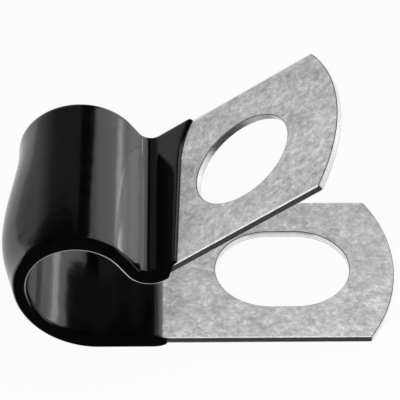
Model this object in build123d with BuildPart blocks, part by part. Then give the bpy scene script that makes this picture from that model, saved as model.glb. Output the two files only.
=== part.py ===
from build123d import *
import os

# P-shaped cable clamp in its free, open state: one stamped and bent steel strap whose loop is dip-coated
# with black vinyl. Millimetres. The lower tab lies flat, X runs along it away from the loop, Y is across
# the strap and Z is up. The origin is at the middle of the slotted hole, on the underside of the lower tab.

# Strap, a strip of zinc-coated sheet
strap_width = 19.05
strap_thickness = 0.71
tab_end_radius = 19.05
tab_corner_radius = 0.35

# Bolt holes: the lower one is a slot, so that it lines up with the round one over a thin or a thick cable
slot_length = 13.0
slot_width = 10.6
slot_to_tip = 10.8
hole_diameter = 10.5
hole_to_tip = 10.9

# Bends of the strap's centreline in side view, from the lower tab round the loop to the upper tab
loop_start = 17.5
heel_radius = 7.3
heel_angle = 85.0
crown_radius = 5.3
crown_angle = 150.0
shoulder_length = 1.45
neck_radius = 2.0
upper_tab_rise = 36.4
upper_tab_length = 20.4

# Vinyl skin on the loop and on the first stretch of both tabs
coat_thickness = 0.40
coat_edge_radius = 0.55
coat_to_slot = 11.4
coat_to_hole = 7.5
dip_line_rise = 70.0
dip_line_skew = 4.5
dip_surplus = 3.0

# Drip bead that the vinyl left at the loop's far end, which hung lowest while the coat set
bead_height = 1.20
bead_to_near_rim = 0.6
bead_to_far_rim = 4.4
bead_turn_radius = 5.5

os.makedirs("parts", exist_ok=True)


def draw_centreline(leg_length, tab_length):
    """The strap's centreline in side view, with its straight ends cut to the given lengths."""
    middle = strap_thickness / 2
    neck_angle = heel_angle + crown_angle - 180 + upper_tab_rise
    leg = Line((leg_length - loop_start, middle), (-loop_start, middle))
    heel = JernArc(leg @ 1, leg % 1, heel_radius, -heel_angle)
    crown = JernArc(heel @ 1, heel % 1, crown_radius, -crown_angle)
    shoulder = Line(crown @ 1, crown @ 1 + shoulder_length * (crown % 1))
    neck = JernArc(shoulder @ 1, shoulder % 1, neck_radius, neck_angle)
    tab = Line(neck @ 1, neck @ 1 + tab_length * (neck % 1))
    return leg, heel, tab


with BuildLine() as centreline:
    leg, heel, tab = draw_centreline(loop_start + slot_to_tip, upper_tab_length)

# Planes on the middle of each tab's thickness: origin at the tip, X outwards, Z to the upper face
tab_run = tab % 1
lower_tab = Plane((slot_to_tip, 0, strap_thickness / 2), x_dir=(1, 0, 0), z_dir=(0, 0, 1))
upper_tab = Plane(
    ((tab @ 1).X, 0, (tab @ 1).Y),
    x_dir=(tab_run.X, 0, tab_run.Y),
    z_dir=(-tab_run.Y, 0, tab_run.X),
)

# Steel strap: one strip of constant section, with a shallow arc at each end and a hole in each tab
with BuildPart() as steel_strap:
    with BuildSketch(Plane.XZ) as strap_profile:
        with BuildLine():
            draw_centreline(loop_start + slot_to_tip, upper_tab_length)
        trace(line_width=strap_thickness)
    extrude(amount=strap_width / 2, both=True)

    # Arc at each tip: all that lies outside the circle is sheared off
    for tab_plane in (lower_tab, upper_tab):
        with BuildSketch(tab_plane) as tip_waste:
            Rectangle(tab_end_radius, strap_width + 1)
            with Locations((-tab_end_radius, 0)):
                Circle(tab_end_radius, mode=Mode.SUBTRACT)
        extrude(amount=strap_thickness, both=True, mode=Mode.SUBTRACT)
        upright = steel_strap.edges().filter_by(Axis(tab_plane.origin, tab_plane.z_dir))
        corners = upright.sort_by(Axis(tab_plane.origin, tab_plane.x_dir))[-2:]
        fillet(corners, radius=tab_corner_radius)

    with BuildSketch(lower_tab) as slot:
        with Locations((-slot_to_tip, 0)):
            SlotOverall(slot_length, slot_width)
    extrude(amount=strap_thickness, both=True, mode=Mode.SUBTRACT)

    with BuildSketch(upper_tab) as bolt_hole:
        with Locations((-hole_to_tip, 0)):
            Circle(hole_diameter / 2)
    extrude(amount=strap_thickness, both=True, mode=Mode.SUBTRACT)

# Straight lengths of tab inside the coat before its dip lines trim it, and the coated strap's section
coated_leg = loop_start - coat_to_slot + dip_surplus
coated_tab = upper_tab_length - hole_to_tip - coat_to_hole + dip_surplus
coated_width = strap_width + 2 * coat_thickness
coated_thickness = strap_thickness + 2 * coat_thickness

# Vinyl coating: a drip bead, a barrel that turns about the loop's far end, and the skin round the strap
loop_end = heel @ 1
skin_x = loop_end.X - strap_thickness / 2 - coat_thickness
axis_x = skin_x - bead_height + bead_turn_radius
near_end = (skin_x, bead_to_near_rim - coated_width / 2)
far_end = (skin_x, coated_width / 2 - bead_to_far_rim)
bead_middle = (near_end[1] + far_end[1]) / 2
with BuildPart() as vinyl_coating:
    with BuildSketch(Plane.XY.offset(loop_end.Y)) as bead_profile:
        with BuildLine():
            ThreePointArc(near_end, (skin_x - bead_height, bead_middle), far_end)
            Polyline(far_end, (axis_x, far_end[1]), (axis_x, near_end[1]), near_end)
        make_face()
    revolve(axis=Axis((axis_x, 0, loop_end.Y), (0, 1, 0)))

    # Inside of the loop, up to the strap's middle, cleared of the bead's core
    with BuildSketch(Plane.XZ) as loop_inside:
        with BuildLine():
            inner_leg, inner_heel, inner_tab = draw_centreline(coated_leg, coated_tab)
            Line(inner_tab @ 1, inner_leg @ 0)
        make_face()
    extrude(amount=strap_width, both=True, mode=Mode.SUBTRACT)

    # Skin of even thickness round the strap, with soft long edges
    with BuildSketch(Plane.XZ) as coat_profile:
        with BuildLine():
            draw_centreline(coated_leg, coated_tab)
        trace(line_width=coated_thickness)
    extrude(amount=coated_width / 2, both=True)
    rims = vinyl_coating.faces().filter_by(Axis.Y).sort_by(Axis.Y)
    fillet(rims[0].edges() + rims[-1].edges(), radius=coat_edge_radius)

    # Dip lines: square on the lower tab, skewed and slanted back to the underside on the upper one
    with BuildSketch(lower_tab) as bare_lower:
        with Locations((-slot_to_tip - coat_to_slot, 0)):
            Rectangle(2 * dip_surplus, 2 * coated_width, align=(Align.MIN, Align.CENTER))
    extrude(amount=coated_thickness, both=True, mode=Mode.SUBTRACT)
    with BuildSketch(upper_tab) as bare_upper:
        with Locations(Location((-hole_to_tip - coat_to_hole, 0), -dip_line_skew)):
            Rectangle(2 * dip_surplus, 2 * coated_width, align=(Align.MIN, Align.CENTER))
    dip_run = Vector(1, 0, 0).rotate(Axis.Y, -dip_line_rise)
    extrude(amount=2 * coated_thickness, dir=dip_run, both=True, mode=Mode.SUBTRACT)
    add(steel_strap.part, mode=Mode.SUBTRACT)

steel_strap.part.label = "steel_strap"
vinyl_coating.part.label = "vinyl_coating"
export_step(steel_strap.part, "parts/steel_strap.step")
export_step(vinyl_coating.part, "parts/vinyl_coating.step")
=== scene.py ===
import math

import bmesh
import bpy
from mathutils import Matrix, Vector


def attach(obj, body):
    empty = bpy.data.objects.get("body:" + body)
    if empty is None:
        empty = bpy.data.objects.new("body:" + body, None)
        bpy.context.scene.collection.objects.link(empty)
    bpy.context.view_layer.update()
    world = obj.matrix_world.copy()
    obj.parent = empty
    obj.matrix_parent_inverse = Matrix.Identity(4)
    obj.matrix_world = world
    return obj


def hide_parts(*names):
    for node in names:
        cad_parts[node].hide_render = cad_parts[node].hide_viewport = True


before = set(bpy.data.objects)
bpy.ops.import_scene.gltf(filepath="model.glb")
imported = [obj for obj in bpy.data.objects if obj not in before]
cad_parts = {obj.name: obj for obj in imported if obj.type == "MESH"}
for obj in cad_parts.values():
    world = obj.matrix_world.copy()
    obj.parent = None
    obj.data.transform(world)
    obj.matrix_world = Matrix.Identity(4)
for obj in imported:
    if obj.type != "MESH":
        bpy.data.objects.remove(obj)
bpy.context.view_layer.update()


# Steel strap: one strip of zinc-coated sheet, sheared to a shallow arc at each end, punched with a slot in
# the lower tab and a round hole in the upper one, and bent cold round a mandrel. Its flat faces keep the
# zinc's fine mottle, with a painted highlight line along the raised tab's long edges, while the sheared edges
# show darker bare steel with a thin burr that carries a painted highlight along the long sides and painted
# shade at the tips and round the holes.
mm = 0.001
strap_width = 19.05 * mm
strap_thickness = 0.71 * mm
tab_end_radius = 19.05 * mm
tab_corner = 0.2 * mm
slot_to_tip = 10.8 * mm
slot_width = 10.6 * mm
slot_run = 2.4 * mm
hole_to_tip = 10.9 * mm
hole_diameter = 10.5 * mm
heel = {"radius": 7.3 * mm, "angle": 85.0}
crown = {"radius": 5.3 * mm, "angle": 150.0}
shoulder_length = 1.45 * mm
upper_tab_rise = 36.4
neck = {"radius": 2.0 * mm, "angle": heel["angle"] + crown["angle"] - 180.0 + upper_tab_rise}
loop_start = -17.5 * mm
upper_tab_length = 20.4 * mm
burr_width = 0.07 * mm


class Bender:
    """Leads an open rim of edges along the strap's line in side view, as straight runs and bends."""

    def __init__(self, shell, rim, x, z):
        self.shell = shell
        self.rim = rim
        self.place = Vector((x, 0.0, z))
        self.heading = Vector((-1.0, 0.0, 0.0))

    def run(self, length, steps):
        step = self.heading * (length / steps)
        made = bmesh.ops.spin(self.shell, geom=self.rim, cent=self.place, axis=(0, 1, 0), dvec=step,
                              angle=0.0, steps=steps, use_duplicate=False)
        self.rim = made["geom_last"]
        self.place = self.place + self.heading * length

    def turn(self, radius, angle, steps):
        """A bend about a line across the strap: upwards from the lower tab where the angle is positive."""
        side = math.copysign(1.0, angle)
        towards = Vector((self.heading.z, 0.0, -self.heading.x)) * side
        centre = self.place + towards * radius
        made = bmesh.ops.spin(self.shell, geom=self.rim, cent=centre, axis=(0, 1, 0), dvec=(0, 0, 0),
                              angle=math.radians(angle), steps=steps, use_duplicate=False)
        self.rim = made["geom_last"]
        swing = Matrix.Rotation(math.radians(angle), 3, "Y")
        self.place = centre + swing @ (self.place - centre)
        self.heading = swing @ self.heading


def punched_tab(length, tip_to_hole, across, run):
    """A flat tab with its tip at the origin and its root at -X. Its hole is a slot where it has a run."""
    hole_sides = 128
    tab = bmesh.new()
    bmesh.ops.create_circle(tab, cap_ends=True, segments=360, radius=tab_end_radius,
                            matrix=Matrix.Translation((-tab_end_radius, 0, 0)))
    for place, side in (((0, strap_width / 2, 0), (0, 1, 0)), ((0, -strap_width / 2, 0), (0, -1, 0)),
                        ((-length, 0, 0), (-1, 0, 0))):
        everything = tab.verts[:] + tab.edges[:] + tab.faces[:]
        bmesh.ops.bisect_plane(tab, geom=everything, dist=1e-7, plane_co=place, plane_no=side,
                               clear_outer=True)
    corners = [v for v in tab.verts if abs(abs(v.co.y) - strap_width / 2) < 1e-6 and v.co.x > -length / 2]
    bmesh.ops.bevel(tab, geom=corners, affect="VERTICES", offset=tab_corner, segments=4, profile=0.5,
                    material=-1)
    bmesh.ops.delete(tab, geom=tab.faces[:], context="FACES_ONLY")
    half_step = Matrix.Rotation(math.pi / hole_sides, 4, "Z")
    punch = bmesh.ops.create_circle(tab, cap_ends=False, segments=hole_sides, radius=across / 2,
                                    matrix=Matrix.Translation((-tip_to_hole, 0, 0)) @ half_step)
    for end in (-1, 1):
        half = [v for v in punch["verts"] if (v.co.x + tip_to_hole) * end > 0]
        bmesh.ops.translate(tab, verts=half, vec=(end * run / 2, 0, 0))
    bmesh.ops.triangle_fill(tab, use_beauty=True, edges=tab.edges[:], normal=(0, 0, 1))
    bmesh.ops.translate(tab, verts=tab.verts[:], vec=(0, 0, -strap_thickness / 2))
    grown = bmesh.ops.extrude_face_region(tab, geom=tab.faces[:])
    raised = [v for v in grown["geom"] if isinstance(v, bmesh.types.BMVert)]
    bmesh.ops.translate(tab, verts=raised, vec=(0, 0, strap_thickness))
    tab.normal_update()
    for f in tab.faces:
        f.material_index = 0 if abs(f.normal.z) > 0.5 else 1
    root = [f for f in tab.faces if all(abs(v.co.x + length) < 1e-6 for v in f.verts)]
    bmesh.ops.delete(tab, geom=root, context="FACES_ONLY")
    return tab


def shown_as(name, shell, finishes):
    """Makes the shell an object of the scene, with its place in its mesh."""
    mesh = bpy.data.meshes.new(name)
    shell.to_mesh(mesh)
    shell.free()
    for finish in finishes:
        mesh.materials.append(finish)
    piece = bpy.data.objects.new(name, mesh)
    bpy.context.scene.collection.objects.link(piece)
    return piece


# The lower tab carries the loop's bends at its root, and the upper tab is joined on at their end
strap = punched_tab(slot_to_tip - loop_start, slot_to_tip, slot_width, slot_run)
bmesh.ops.translate(strap, verts=strap.verts[:], vec=(slot_to_tip, 0, strap_thickness / 2))
root_verts = [v for v in strap.verts if abs(v.co.x - loop_start) < 1e-6]
root_edges = [e for e in strap.edges if all(v in root_verts for v in e.verts)]
bender = Bender(strap, root_verts + root_edges, loop_start, strap_thickness / 2)
bender.turn(heel["radius"], heel["angle"], 34)
bender.turn(crown["radius"], crown["angle"], 60)
bender.run(shoulder_length, 2)
bender.turn(neck["radius"], -neck["angle"], 30)
upper_tab_root = bender.place.copy()
tab_run = bender.heading.copy()

upper_tab = punched_tab(upper_tab_length, hole_to_tip, hole_diameter, 0.0)
tip = upper_tab_root + tab_run * upper_tab_length
rise = Matrix.Translation(tip) @ Matrix.Rotation(-math.radians(upper_tab_rise), 4, "Y")
bmesh.ops.transform(upper_tab, matrix=rise, verts=upper_tab.verts[:])
spare = bpy.data.meshes.new("spare")
upper_tab.to_mesh(spare)
upper_tab.free()
strap.from_mesh(spare)
bpy.data.meshes.remove(spare)
bmesh.ops.remove_doubles(strap, verts=strap.verts[:], dist=2e-6)
bmesh.ops.recalc_face_normals(strap, faces=strap.faces[:])

# Both sides of the bent strip are sheared too. The burr along them carries a painted highlight, and at
# the tips and round the holes it is rolled down and carries painted shade.
for f in strap.faces:
    if abs(f.normal.y) > 0.99:
        f.material_index = 1
sheared = [e for e in strap.edges if e.is_manifold and e.calc_face_angle() > math.radians(40)]
burr = bmesh.ops.bevel(strap, geom=sheared, affect="EDGES", offset=burr_width, segments=2, profile=0.5,
                       clamp_overlap=False, material=2)
burr_faces = set(burr["faces"])
# Burr faces on the long edges get the painted highlight, and those at the tips and holes the painted shade.
for f in burr_faces:
    on_long_edge = abs(f.calc_center_median().y) > strap_width / 2 - burr_width - 0.01 * mm
    f.material_index = 2 if on_long_edge else 3
for f in strap.faces:
    f.smooth = True
for e in strap.edges:
    if len(e.link_faces) == 2 and e.calc_face_angle() > math.radians(8):
        e.smooth = all(f in burr_faces for f in e.link_faces)


class Wire:
    """One output of a material's nodes. Sums and products of wires add the Math nodes that work them out."""

    def __init__(self, tree, socket=None):
        self.tree = tree
        self.socket = socket

    def node(self, kind, settings={}, sockets={}, out=0):
        made = self.tree.nodes.new("ShaderNode" + kind)
        for name, value in settings.items():
            if name == "stops":
                ramp = made.color_ramp
                while len(ramp.elements) < len(value):
                    ramp.elements.new(0.5)
                for element, (place, grey) in zip(ramp.elements, value):
                    element.position = place
                    element.color = (grey, grey, grey, 1.0)
            else:
                setattr(made, name, value)
        for key, value in sockets.items():
            if isinstance(value, Wire):
                self.tree.links.new(value.socket, made.inputs[key])
            else:
                made.inputs[key].default_value = value
        return Wire(self.tree, made.outputs[out]) if out is not None else made

    def maths(self, operation, *values):
        return self.node("Math", {"operation": operation}, dict(enumerate(values)))

    def __add__(self, other):
        return self.maths("ADD", self, other)

    __radd__ = __add__

    def __mul__(self, other):
        return self.maths("MULTIPLY", self, other)

    def __rsub__(self, other):
        return self.maths("SUBTRACT", other, self)


def new_finish(name):
    """An empty material, the start of its wires, and the place on the piece in millimetres."""
    finish = bpy.data.materials.new(name)
    finish.use_nodes = True
    finish.node_tree.nodes.clear()
    start = Wire(finish.node_tree)
    place = start.node("TexCoord", out=3)
    place = start.node("Mapping", {"vector_type": "POINT"}, {"Vector": place, "Scale": (1000, 1000, 1000)})
    return finish, start, place


zinc, start, place = new_finish("dull zinc spangle")
drift = start.node("TexNoise", {}, {"Vector": place, "Scale": 0.8, "Detail": 2.0}, out=1)
swirled = start.node("VectorMath", {"operation": "MULTIPLY_ADD"},
                     {0: drift, 1: (0.9, 0.9, 0.9), 2: place})
mottle = start.node("TexNoise", {}, {"Vector": swirled, "Scale": 1.25, "Detail": 8.0, "Roughness": 0.76,
                                     "Distortion": 0.25})
grain = start.node("TexNoise", {}, {"Vector": place, "Scale": 5.5, "Detail": 4.0, "Roughness": 0.7})
flecks = start.node("TexVoronoi", {"feature": "F1"}, {"Vector": swirled, "Scale": 2.2, "Randomness": 1.0})
cloud = start.node("TexNoise", {}, {"Vector": place, "Scale": 0.28, "Detail": 3.0})
tone = mottle * 0.66 + grain * 0.26 + flecks * -0.10 + cloud * 0.20
spangle = [(0.36, 0.36), (0.46, 0.55), (0.54, 0.71), (0.64, 0.98)]
grey = start.node("ValToRGB", {"stops": spangle}, {"Fac": tone})
dullness = 0.70 - tone * 0.30
height = start.node("SeparateXYZ", {}, {0: place}, out=2)
side = start.maths("ABSOLUTE", start.node("SeparateXYZ", {}, {0: place}, out=1))
# Painted highlight: a near-white line along both long edges of the raised tab, above 4 mm.
by_long_edge = start.node("MapRange", {}, {0: side, 1: 9.31, 2: 9.37})
over_lower_tab = start.node("MapRange", {}, {0: height, 1: 3.0, 2: 4.0})
painted_edge_highlight = by_long_edge * over_lower_tab
grey = start.node("Mix", {"data_type": "RGBA"}, {0: painted_edge_highlight, 6: grey, 7: (0.96, 0.96, 0.96, 1.0)}, out=2)
dents = start.node("Bump", {}, {"Strength": 0.12, "Distance": 0.00004, "Height": tone})
surface = start.node("BsdfPrincipled", {}, {"Base Color": grey, "Metallic": 0.20, "Roughness": dullness,
                                            "Normal": dents})
start.node("OutputMaterial", {}, {"Surface": surface}, out=None)

# Painted highlight: the burr faces along the long sides are coloured pale, almost white.
burr_painted_highlight, start, place = new_finish("burr with painted highlight")
highlight_blotches = start.node("TexNoise", {}, {"Vector": place, "Scale": 3.0, "Detail": 3.0})
grey = start.node("ValToRGB", {"stops": [(0.3, 0.55), (0.6, 0.80)]}, {"Fac": highlight_blotches})
surface = start.node("BsdfPrincipled", {}, {"Base Color": grey, "Metallic": 0.0, "Roughness": 0.35})
start.node("OutputMaterial", {}, {"Surface": surface}, out=None)

bare_edge, start, place = new_finish("sheared bare steel")
stretched = start.node("Mapping", {"vector_type": "POINT"}, {"Vector": place, "Scale": (3.0, 3.0, 9.0)})
tearing = start.node("TexNoise", {}, {"Vector": stretched, "Scale": 1.3, "Detail": 5.0, "Roughness": 0.7})
grey = start.node("ValToRGB", {"stops": [(0.25, 0.58), (0.5, 0.78), (0.75, 0.95)]}, {"Fac": tearing})
scores = start.node("Bump", {}, {"Strength": 0.25, "Distance": 0.00003, "Height": tearing})
surface = start.node("BsdfPrincipled", {}, {"Base Color": grey, "Metallic": 0.95,
                                            "Roughness": 0.20 + tearing * 0.2, "Normal": scores})
start.node("OutputMaterial", {}, {"Surface": surface}, out=None)

# Painted shade: the burr faces at the tips and round the holes are coloured near black, as dark lines on
# those edges.
rim_painted_shade, start, place = new_finish("rolled rim with painted shade")
shade_blotches = start.node("TexNoise", {}, {"Vector": place, "Scale": 2.0, "Detail": 3.0})
grey = start.node("ValToRGB", {"stops": [(0.3, 0.05), (0.7, 0.16)]}, {"Fac": shade_blotches})
surface = start.node("BsdfPrincipled", {}, {"Base Color": grey, "Metallic": 0.0,
                                            "Roughness": 0.5 + shade_blotches * 0.2})
start.node("OutputMaterial", {}, {"Surface": surface}, out=None)

steel_strap = shown_as("zinc_coated_strap", strap, [zinc, bare_edge, burr_painted_highlight, rim_painted_shade])
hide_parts("steel_strap")
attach(steel_strap, "root")


# Vinyl coating: a soft black skin of plastisol, left by dipping the warm strap loop first and curing it.
# It goes round all four sides of the strip, with thin round lips, and has sagged to a bead on the loop's end.
coat_thickness = 0.40 * mm
coat_edge_radius = 0.55 * mm
lower_dip_line = -11.58 * mm
lower_dip_flare = 0.46 * mm
upper_dip_reach = 3.0 * mm
upper_dip_line = {"middle": 2.32, "skew": 0.035, "run_out": 1.55, "slant": 1.98}
lower_lip = 1.0 * mm
upper_lip = 0.30 * mm
bead_height = 1.17 * mm
bead_peak_y = -3.2 * mm
bead_spread = {"up": 52.0, "down": 66.0}
bead_far_slope = (11.5, 2.0)
bead_near_slope = (6.4, 1.35)
lip_highlight_band = (28.0, 38.0)


def lead_round_loop(bender, bare_start, lip, steps):
    """Leads a rim from the lower dip line round the loop to the upper tab, as far as the lip leaves free."""
    bender.run(bare_start - loop_start, steps[0])
    bender.turn(heel["radius"], heel["angle"], steps[1])
    bender.turn(crown["radius"], crown["angle"], steps[2])
    bender.run(shoulder_length, steps[3])
    bender.turn(neck["radius"], -neck["angle"], steps[4])
    bender.run(upper_dip_reach - lip, steps[5])


def off_steel(place, middle, up):
    """The way from the steel's section to a point of the skin: across, upwards, and up from its middle."""
    lift = (place - middle).dot(up)
    across = place.y - min(max(place.y, -strap_width / 2), strap_width / 2)
    return across, lift - min(max(lift, -strap_thickness / 2), strap_thickness / 2), lift


def round_lip(shell, rim, middle, outward, up, length):
    """Closes the open rim of the skin down onto the steel with a rounded lip, and returns the last rim."""
    share, reach = 1.0, 0.0
    for quarter in (15, 30, 45, 60, 75, 90):
        next_share = max(math.cos(math.radians(quarter)), 0.03)
        next_reach = length * math.sin(math.radians(quarter))
        made = bmesh.ops.extrude_edge_only(shell, edges=rim)["geom"]
        fresh = {v for v in made if isinstance(v, bmesh.types.BMVert)}
        rim = [e for e in made if isinstance(e, bmesh.types.BMEdge) and all(v in fresh for v in e.verts)]
        for v in fresh:
            across, above, _ = off_steel(v.co, middle, up)
            pull = Vector((0, across, 0)) + up * above
            v.co += outward * (next_reach - reach) - pull * (1.0 - next_share / share)
        share, reach = next_share, next_reach
    return rim


coat = bmesh.new()
start_x = lower_dip_line - lower_lip
half_across = strap_width / 2 + coat_thickness
half_up = strap_thickness / 2 + coat_thickness
corners = [coat.verts.new((start_x, y * half_across, strap_thickness / 2 + z * half_up))
           for y, z in ((-1, -1), (1, -1), (1, 1), (-1, 1))]
coat.faces.new(corners)
bmesh.ops.bevel(coat, geom=corners, affect="VERTICES", offset=coat_edge_radius, segments=8, profile=0.5,
                material=-1)
long_sides = [e for e in coat.edges if e.calc_length() > 5 * mm]
short_sides = [e for e in coat.edges if abs(e.verts[0].co.y - e.verts[1].co.y) < 1e-8]
bmesh.ops.subdivide_edges(coat, edges=long_sides, cuts=56)
bmesh.ops.subdivide_edges(coat, edges=short_sides, cuts=2)

# Only the section's outline is led round the loop, so the cuts' edges across it go with its face
across_section = [e for e in coat.edges if len(e.link_faces) == 2]
bmesh.ops.delete(coat, geom=coat.faces[:], context="FACES_ONLY")
bmesh.ops.delete(coat, geom=across_section, context="EDGES")
# Painted highlight: a band of the inner near lip's rounding is marked, to be coloured pale in the vinyl.
rubbed = coat.verts.layers.float.new("rubbed")
edge_axis = (strap_thickness / 2 + half_up - coat_edge_radius, coat_edge_radius - half_across)
for v in coat.verts:
    way_in = math.degrees(math.atan2(v.co.z - edge_axis[0], edge_axis[1] - v.co.y))
    if lip_highlight_band[0] < way_in < lip_highlight_band[1] and v.co.y < edge_axis[1]:
        v[rubbed] = 1.0
first_rim = coat.edges[:]
outside = Bender(coat, first_rim + coat.verts[:], start_x, strap_thickness / 2)
lead_round_loop(outside, start_x, upper_lip, (16, 44, 72, 5, 26, 8))
last_rim = [e for e in outside.rim if isinstance(e, bmesh.types.BMEdge)]

# The bead: the skin swells along the outside of the loop's far end, most at the near third of its width
outer_skin = 5.6 * mm
loop_middle = Vector((-19.5 * mm, 0, 7.55 * mm))
for v in coat.verts:
    outward = Vector((v.co.x - loop_middle.x, 0, v.co.z - loop_middle.z))
    turn = math.degrees(math.atan2(outward.z, -outward.x))
    spread = bead_spread["up"] if turn > 0 else bead_spread["down"]
    if outward.length > outer_skin and abs(turn) < spread:
        bell = math.cos(math.pi / 2 * turn / spread) ** 2
        lag = (v.co.y - bead_peak_y) / mm
        width, power = bead_far_slope if lag > 0 else bead_near_slope
        height = max(1.0 - (lag / width) ** 2, 0.0) ** power
        v.co += outward.normalized() * (bead_height * bell * height)

# The lips, and the tunnel that the strap runs in
flat = Vector((0, 0, 1))
lower_middle = Vector((start_x, 0, strap_thickness / 2))
tunnel_rim = round_lip(coat, first_rim, lower_middle, Vector((1, 0, 0)), flat, lower_lip)
tunnel_rim = tunnel_rim + list({v for e in tunnel_rim for v in e.verts})
inside = Bender(coat, tunnel_rim, lower_dip_line, strap_thickness / 2)
lead_round_loop(inside, lower_dip_line, 0.0, (1, 34, 60, 1, 26, 1))
risen = Vector((-tab_run.z, 0.0, tab_run.x))
round_lip(coat, last_rim, outside.place, tab_run, risen, upper_lip)
bmesh.ops.remove_doubles(coat, verts=coat.verts[:], dist=3e-7)
bmesh.ops.recalc_face_normals(coat, faces=coat.faces[:])


def way_down_edge(place, middle, up):
    """0 on the strip's upper face, 1 on its underside, and between them round its sheared edge."""
    across, above, lift = off_steel(place, middle, up)
    if abs(across) < 1e-9:
        return 0.0 if lift > 0 else 1.0
    corner = 0.265 * math.atan2(abs(across), abs(above)) / (math.pi / 2)
    if abs(above) > 1e-9:
        return corner if lift > 0 else 1.0 - corner
    return 0.5 - 0.47 * lift / strap_thickness


# The dip lines: skewed on the upper tab and run out at its far rim, slanted back over its edges, and
# run a little further along the lower tab's edges
for v in coat.verts:
    along = (v.co - upper_tab_root).dot(tab_run)
    if v.co.z > 4 * mm and v.co.x > upper_tab_root.x - 3 * mm and along > 1e-7:
        side = v.co.y / mm
        run_out = upper_dip_line["run_out"] * max(0.0, (side - 4.0) / 6.0) ** 2.2
        reach = upper_dip_line["middle"] + upper_dip_line["skew"] * side + run_out
        reach = max(reach - upper_dip_line["slant"] * way_down_edge(v.co, upper_tab_root, risen), 0.10) * mm
        v.co += tab_run * (along / upper_dip_reach * (reach - upper_dip_reach))
    elif v.co.z < 3 * mm and v.co.x > loop_start + 1e-6:
        share = (v.co.x - loop_start) / (lower_dip_line - loop_start)
        across, above, _ = off_steel(v.co, Vector((0, 0, strap_thickness / 2)), flat)
        if abs(across) > 1e-9:
            v.co.x += share * lower_dip_flare * math.atan2(abs(across), abs(above)) / (math.pi / 2)

# The fine painted highlight line along the loop's inner near edge starts 5 mm up the heel and is
# whole from 8 mm up. It is faint at the loop's far end, and stops at the neck.
for v in coat.verts:
    if v[rubbed] > 0.0:
        climb = min(max((v.co.z / mm - 5.0) / 3.0, 0.0), 1.0)
        v[rubbed] = climb * min(max((v.co.x / mm + 27.0) / 8.0, 0.3), 1.0) if v.co.x < -9.0 * mm else 0.0
for f in coat.faces:
    f.smooth = True

vinyl, start, place = new_finish("glossy black plastisol")
swell = start.node("TexNoise", {}, {"Vector": place, "Scale": 0.35, "Detail": 2.0, "Roughness": 0.4})
peel = start.node("TexNoise", {}, {"Vector": place, "Scale": 2.6, "Detail": 3.0, "Roughness": 0.55})
wear = start.node("TexNoise", {}, {"Vector": place, "Scale": 0.7, "Detail": 6.0, "Roughness": 0.65})
tint = start.node("ValToRGB", {"stops": [(0.3, 0.0012), (0.7, 0.0026)]}, {"Fac": wear})
# Painted highlight: the marked band is coloured pale grey and made rougher.
lip_highlight = start.node("Attribute", {"attribute_name": "rubbed"}, out=2)
highlight_paleness = lip_highlight * (0.75 + wear * 0.4)
tint = start.node("Mix", {"data_type": "RGBA"}, {0: highlight_paleness, 6: tint, 7: (0.82, 0.82, 0.82, 1.0)}, out=2)
skin_height = swell + peel * 0.06
ripple = start.node("Bump", {}, {"Strength": 0.30, "Distance": 0.00012, "Height": skin_height})
surface = start.node("BsdfPrincipled", {}, {"Base Color": tint, "Roughness": 0.09 + wear * 0.09 + lip_highlight * 0.2,
                                            "Normal": ripple, "IOR": 1.50})
start.node("OutputMaterial", {}, {"Surface": surface}, out=None)

vinyl_skin = shown_as("vinyl_skin", coat, [vinyl])
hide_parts("vinyl_coating")
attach(vinyl_skin, "root")


# Floor: a wide matt table top, just under the coat. It is plain white to the camera and in reflections, but
# for a small share that the lamps light, which keeps the clamp's faint shadow.
table_half_width = 1.5
table_gap = 0.02 * mm
lit_share = 0.08


def as_background(start):
    """1 for what the camera, a mirror or glass shows, and 0 for the light that falls on things."""
    share = start.node("LightPath", out=0)
    for seen_in in (3, 6):
        share = start.maths("MAXIMUM", share, start.node("LightPath", out=seen_in))
    return share


floor_shell = bmesh.new()
bmesh.ops.create_grid(floor_shell, x_segments=1, y_segments=1, size=table_half_width,
                      matrix=Matrix.Translation((0, 0, -coat_thickness - table_gap)))
table, start, place = new_finish("pale table")
background = as_background(start)
matt = start.node("BsdfDiffuse", {}, {"Color": (0.9, 0.9, 0.9, 1.0)})
white = start.node("Emission", {}, {"Color": (1, 1, 1, 1), "Strength": 1.0})
surface = start.node("MixShader", {}, {0: background * (1.0 - lit_share), 1: matt, 2: white})
start.node("OutputMaterial", {}, {"Surface": surface}, out=None)
floor = shown_as("floor", floor_shell, [table])


# Surround: the studio's white walls, all one plain white behind the clamp and in what it mirrors. The light
# that they throw on things is lower, since the lamps add the rest.
world = bpy.data.worlds.new("studio surround")
bpy.context.scene.world = world
world.use_nodes = True
world.node_tree.nodes.clear()
start = Wire(world.node_tree)
background = as_background(start)
fill = start.node("Background", {}, {"Color": (1, 1, 1, 1), "Strength": 0.45})
white = start.node("Background", {}, {"Color": (1, 1, 1, 1), "Strength": 1.0})
surface = start.node("MixShader", {}, {0: background, 1: fill, 2: white})
start.node("OutputWorld", {}, {"Surface": surface}, out=None)


# Lamps: soft boxes on stands. The key, a glow that the vinyl mirrors and a low bright strip stand to the
# right behind the clamp, and a low one in front lights the lower tab under the raised one.
aim = (-18.0 * mm, -3.0 * mm, 10.0 * mm)


def area_lamp(name, wide, tall, radiance):
    """A flat lamp of two sizes in metres, whose face is evenly bright. White paper in the studio is 1."""
    light = bpy.data.lights.new(name, "AREA")
    light.shape = "RECTANGLE"
    light.size = wide
    light.size_y = tall
    light.energy = radiance * math.pi * wide * tall
    lamp = bpy.data.objects.new(name, light)
    bpy.context.scene.collection.objects.link(lamp)
    return lamp


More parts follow.
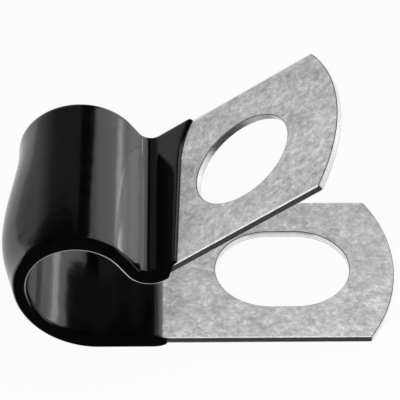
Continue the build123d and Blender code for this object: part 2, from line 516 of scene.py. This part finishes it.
def soft_box(name, azimuth, height, distance, wide, tall, radiance, in_reflections=True):
    """A lamp that looks at the loop from a direction in degrees, with 0 straight behind the clamp."""
    turn, lift = math.radians(azimuth), math.radians(height)
    away = Vector((math.sin(turn) * math.cos(lift), math.cos(turn) * math.cos(lift), math.sin(lift)))
    box = area_lamp(name, wide, tall, radiance)
    box.location = Vector(aim) + away * distance
    box.rotation_euler = away.to_track_quat("Z", "Y").to_euler()
    box.visible_glossy = in_reflections


soft_box("key", 48.0, 20.0, 0.60, 0.62, 0.50, 1.2, False)
soft_box("glow", 46.0, 16.0, 0.62, 0.52, 0.44, 0.4)
soft_box("strip", 50.0, 8.0, 0.55, 0.22, 0.08, 1.9)
soft_box("front", -168.0, 27.0, 0.20, 0.13, 0.13, 6.6, False)


# Cards: grey and black paper boards round the table, as in a product studio, that only reflections see.
# They stand or lie free of the clamp and give the glossy vinyl and the cut edges their dark bands.
black = [(0.0, 0.0), (1.0, 0.0)]
wall_grey = [(0.0, 0.62), (0.12, 0.50), (0.45, 0.14)]
card_foot = -1.0 * mm
just_over_table = -0.2 * mm


def card(name, shell, greys=black, heights=(0.0, 1.0)):
    """Shows a board whose grey goes by its height over the table, between two heights in metres."""
    paint, start, place = new_finish(name)
    z = start.node("SeparateXYZ", {}, {0: place}, out=2)
    level = start.node("MapRange", {}, {0: z, 1: heights[0] * 1000, 2: heights[1] * 1000, 3: 0.0, 4: 1.0})
    tone = start.node("ValToRGB", {"stops": greys}, {"Fac": level})
    glow = start.node("Emission", {}, {"Color": tone, "Strength": 1.0})
    start.node("OutputMaterial", {}, {"Surface": glow}, out=None)
    paint.cycles.emission_sampling = "NONE"
    board = shown_as(name, shell, [paint])
    board.visible_camera = False
    board.visible_diffuse = False
    board.visible_shadow = False
    board.visible_transmission = False


def standing_wall(radius, from_azimuth, to_azimuth, top):
    """A board bent round the clamp on the table, between two directions in degrees."""
    wall = bmesh.new()
    turn = math.radians(from_azimuth)
    x, y = aim[0] + radius * math.sin(turn), aim[1] + radius * math.cos(turn)
    ends = [wall.verts.new((x, y, z)) for z in (card_foot, top)]
    upright = wall.edges.new(ends)
    bmesh.ops.spin(wall, geom=ends + [upright], cent=(aim[0], aim[1], 0), axis=(0, 0, -1), dvec=(0, 0, 0),
                   angle=math.radians(to_azimuth - from_azimuth), steps=24, use_duplicate=False)
    return wall


def standing_flag(x, y0, y1, foot, top, lean):
    """A small upright board across the strap's line, between two places and two heights, leaning back."""
    flag = bmesh.new()
    ends = [flag.verts.new((x, y0, z)) for z in (foot, top)]
    upright = flag.edges.new(ends)
    bmesh.ops.spin(flag, geom=ends + [upright], cent=(x, 0, 0), axis=(0, 0, 1), dvec=(0, y1 - y0, 0),
                   angle=0.0, steps=1, use_duplicate=False)
    bmesh.ops.translate(flag, verts=[v for v in flag.verts if v.co.z > foot], vec=(0, lean, 0))
    return flag


def lying_board(x0, y0, x1, y1, z, turned=0.0):
    """A level board between two corners, turned in degrees about its middle."""
    board = bmesh.new()
    middle = Matrix.Translation(((x0 + x1) / 2, (y0 + y1) / 2, z))
    bmesh.ops.create_grid(board, x_segments=1, y_segments=1, size=0.5)
    bmesh.ops.scale(board, vec=(x1 - x0, y1 - y0, 1), verts=board.verts[:])
    bmesh.ops.transform(board, matrix=middle @ Matrix.Rotation(math.radians(turned), 4, "Z"),
                        verts=board.verts[:])
    return board


card("grey_wall", standing_wall(0.45, -110, 1, 0.55), wall_grey, (0.0, 0.50))
card("black_post", standing_wall(0.45, 1, 20, 0.55))
card("black_rear", standing_wall(0.90, 115, 245, 0.60))
card("black_ceiling", lying_board(-0.70, -0.80, 0.70, 0.20, 0.30))
card("near_ceiling", lying_board(-113.0 * mm, -99.5 * mm, -13.0 * mm, 35.0 * mm, 40.0 * mm, -27.0))
card("near_flag", standing_flag(-35.0 * mm, -90.0 * mm, 2.0 * mm, 10.1 * mm, 40.0 * mm, 23.9 * mm))
card("black_front", lying_board(-0.60, -0.90, 0.60, -9.55 * mm, just_over_table))
card("black_under_slot", lying_board(-2.5 * mm, -5.4 * mm, 2.5 * mm, 4.42 * mm, just_over_table))


# The raised tab's glow: flat lamps just over the bright zinc that shine up off it, as the tab itself throws
# the studio's light back, and give the loop's flank its bright side with a brighter streak in it.
glow_width = 16.6 * mm
glow_middle_y = 1.1 * mm
glow_gap = 0.05 * mm


def tab_glow(name, near_end, far_end, radiance):
    """A flat lamp that faces up from the raised tab, between two distances in millimetres along it."""
    middle = upper_tab_root + tab_run * ((near_end + far_end) / 2 * mm)
    middle = middle + risen * (strap_thickness / 2 + coat_thickness + glow_gap)
    middle.y = glow_middle_y
    facing_up = Matrix.Rotation(math.radians(180.0 - upper_tab_rise), 4, "Y")
    panel = area_lamp(name, (far_end - near_end) * mm, glow_width, radiance)
    panel.matrix_world = Matrix.Translation(middle) @ facing_up


tab_glow("tab glow", -0.6, 19.6, 1.15)
tab_glow("tab streak", 5.8, 12.6, 0.8)
tab_glow("tab streak core", 7.2, 11.0, 1.4)


# Camera: a long lens from in front and above, framed as in the photograph. Its place and its directions
# come from a fit to the tabs' edges, holes and arcs and to the loop's outlines.
lens = bpy.data.cameras.new("camera")
lens.sensor_width = 36.0
lens.lens = 270.0
lens.clip_start = 0.01
camera = bpy.data.objects.new("camera", lens)
bpy.context.scene.collection.objects.link(camera)
forward = Vector((0.00421, 0.74731, -0.66446)).normalized()
right = Vector((0.99998, -0.00661, -0.00110)).normalized()
upward = right.cross(forward).normalized()
turned = Matrix((right, upward, -forward)).transposed().to_4x4()
camera.matrix_world = Matrix.Translation((-0.009155, -0.212787, 0.198813)) @ turned
bpy.context.scene.camera = camera
bpy.context.scene.view_settings.view_transform = "Standard"
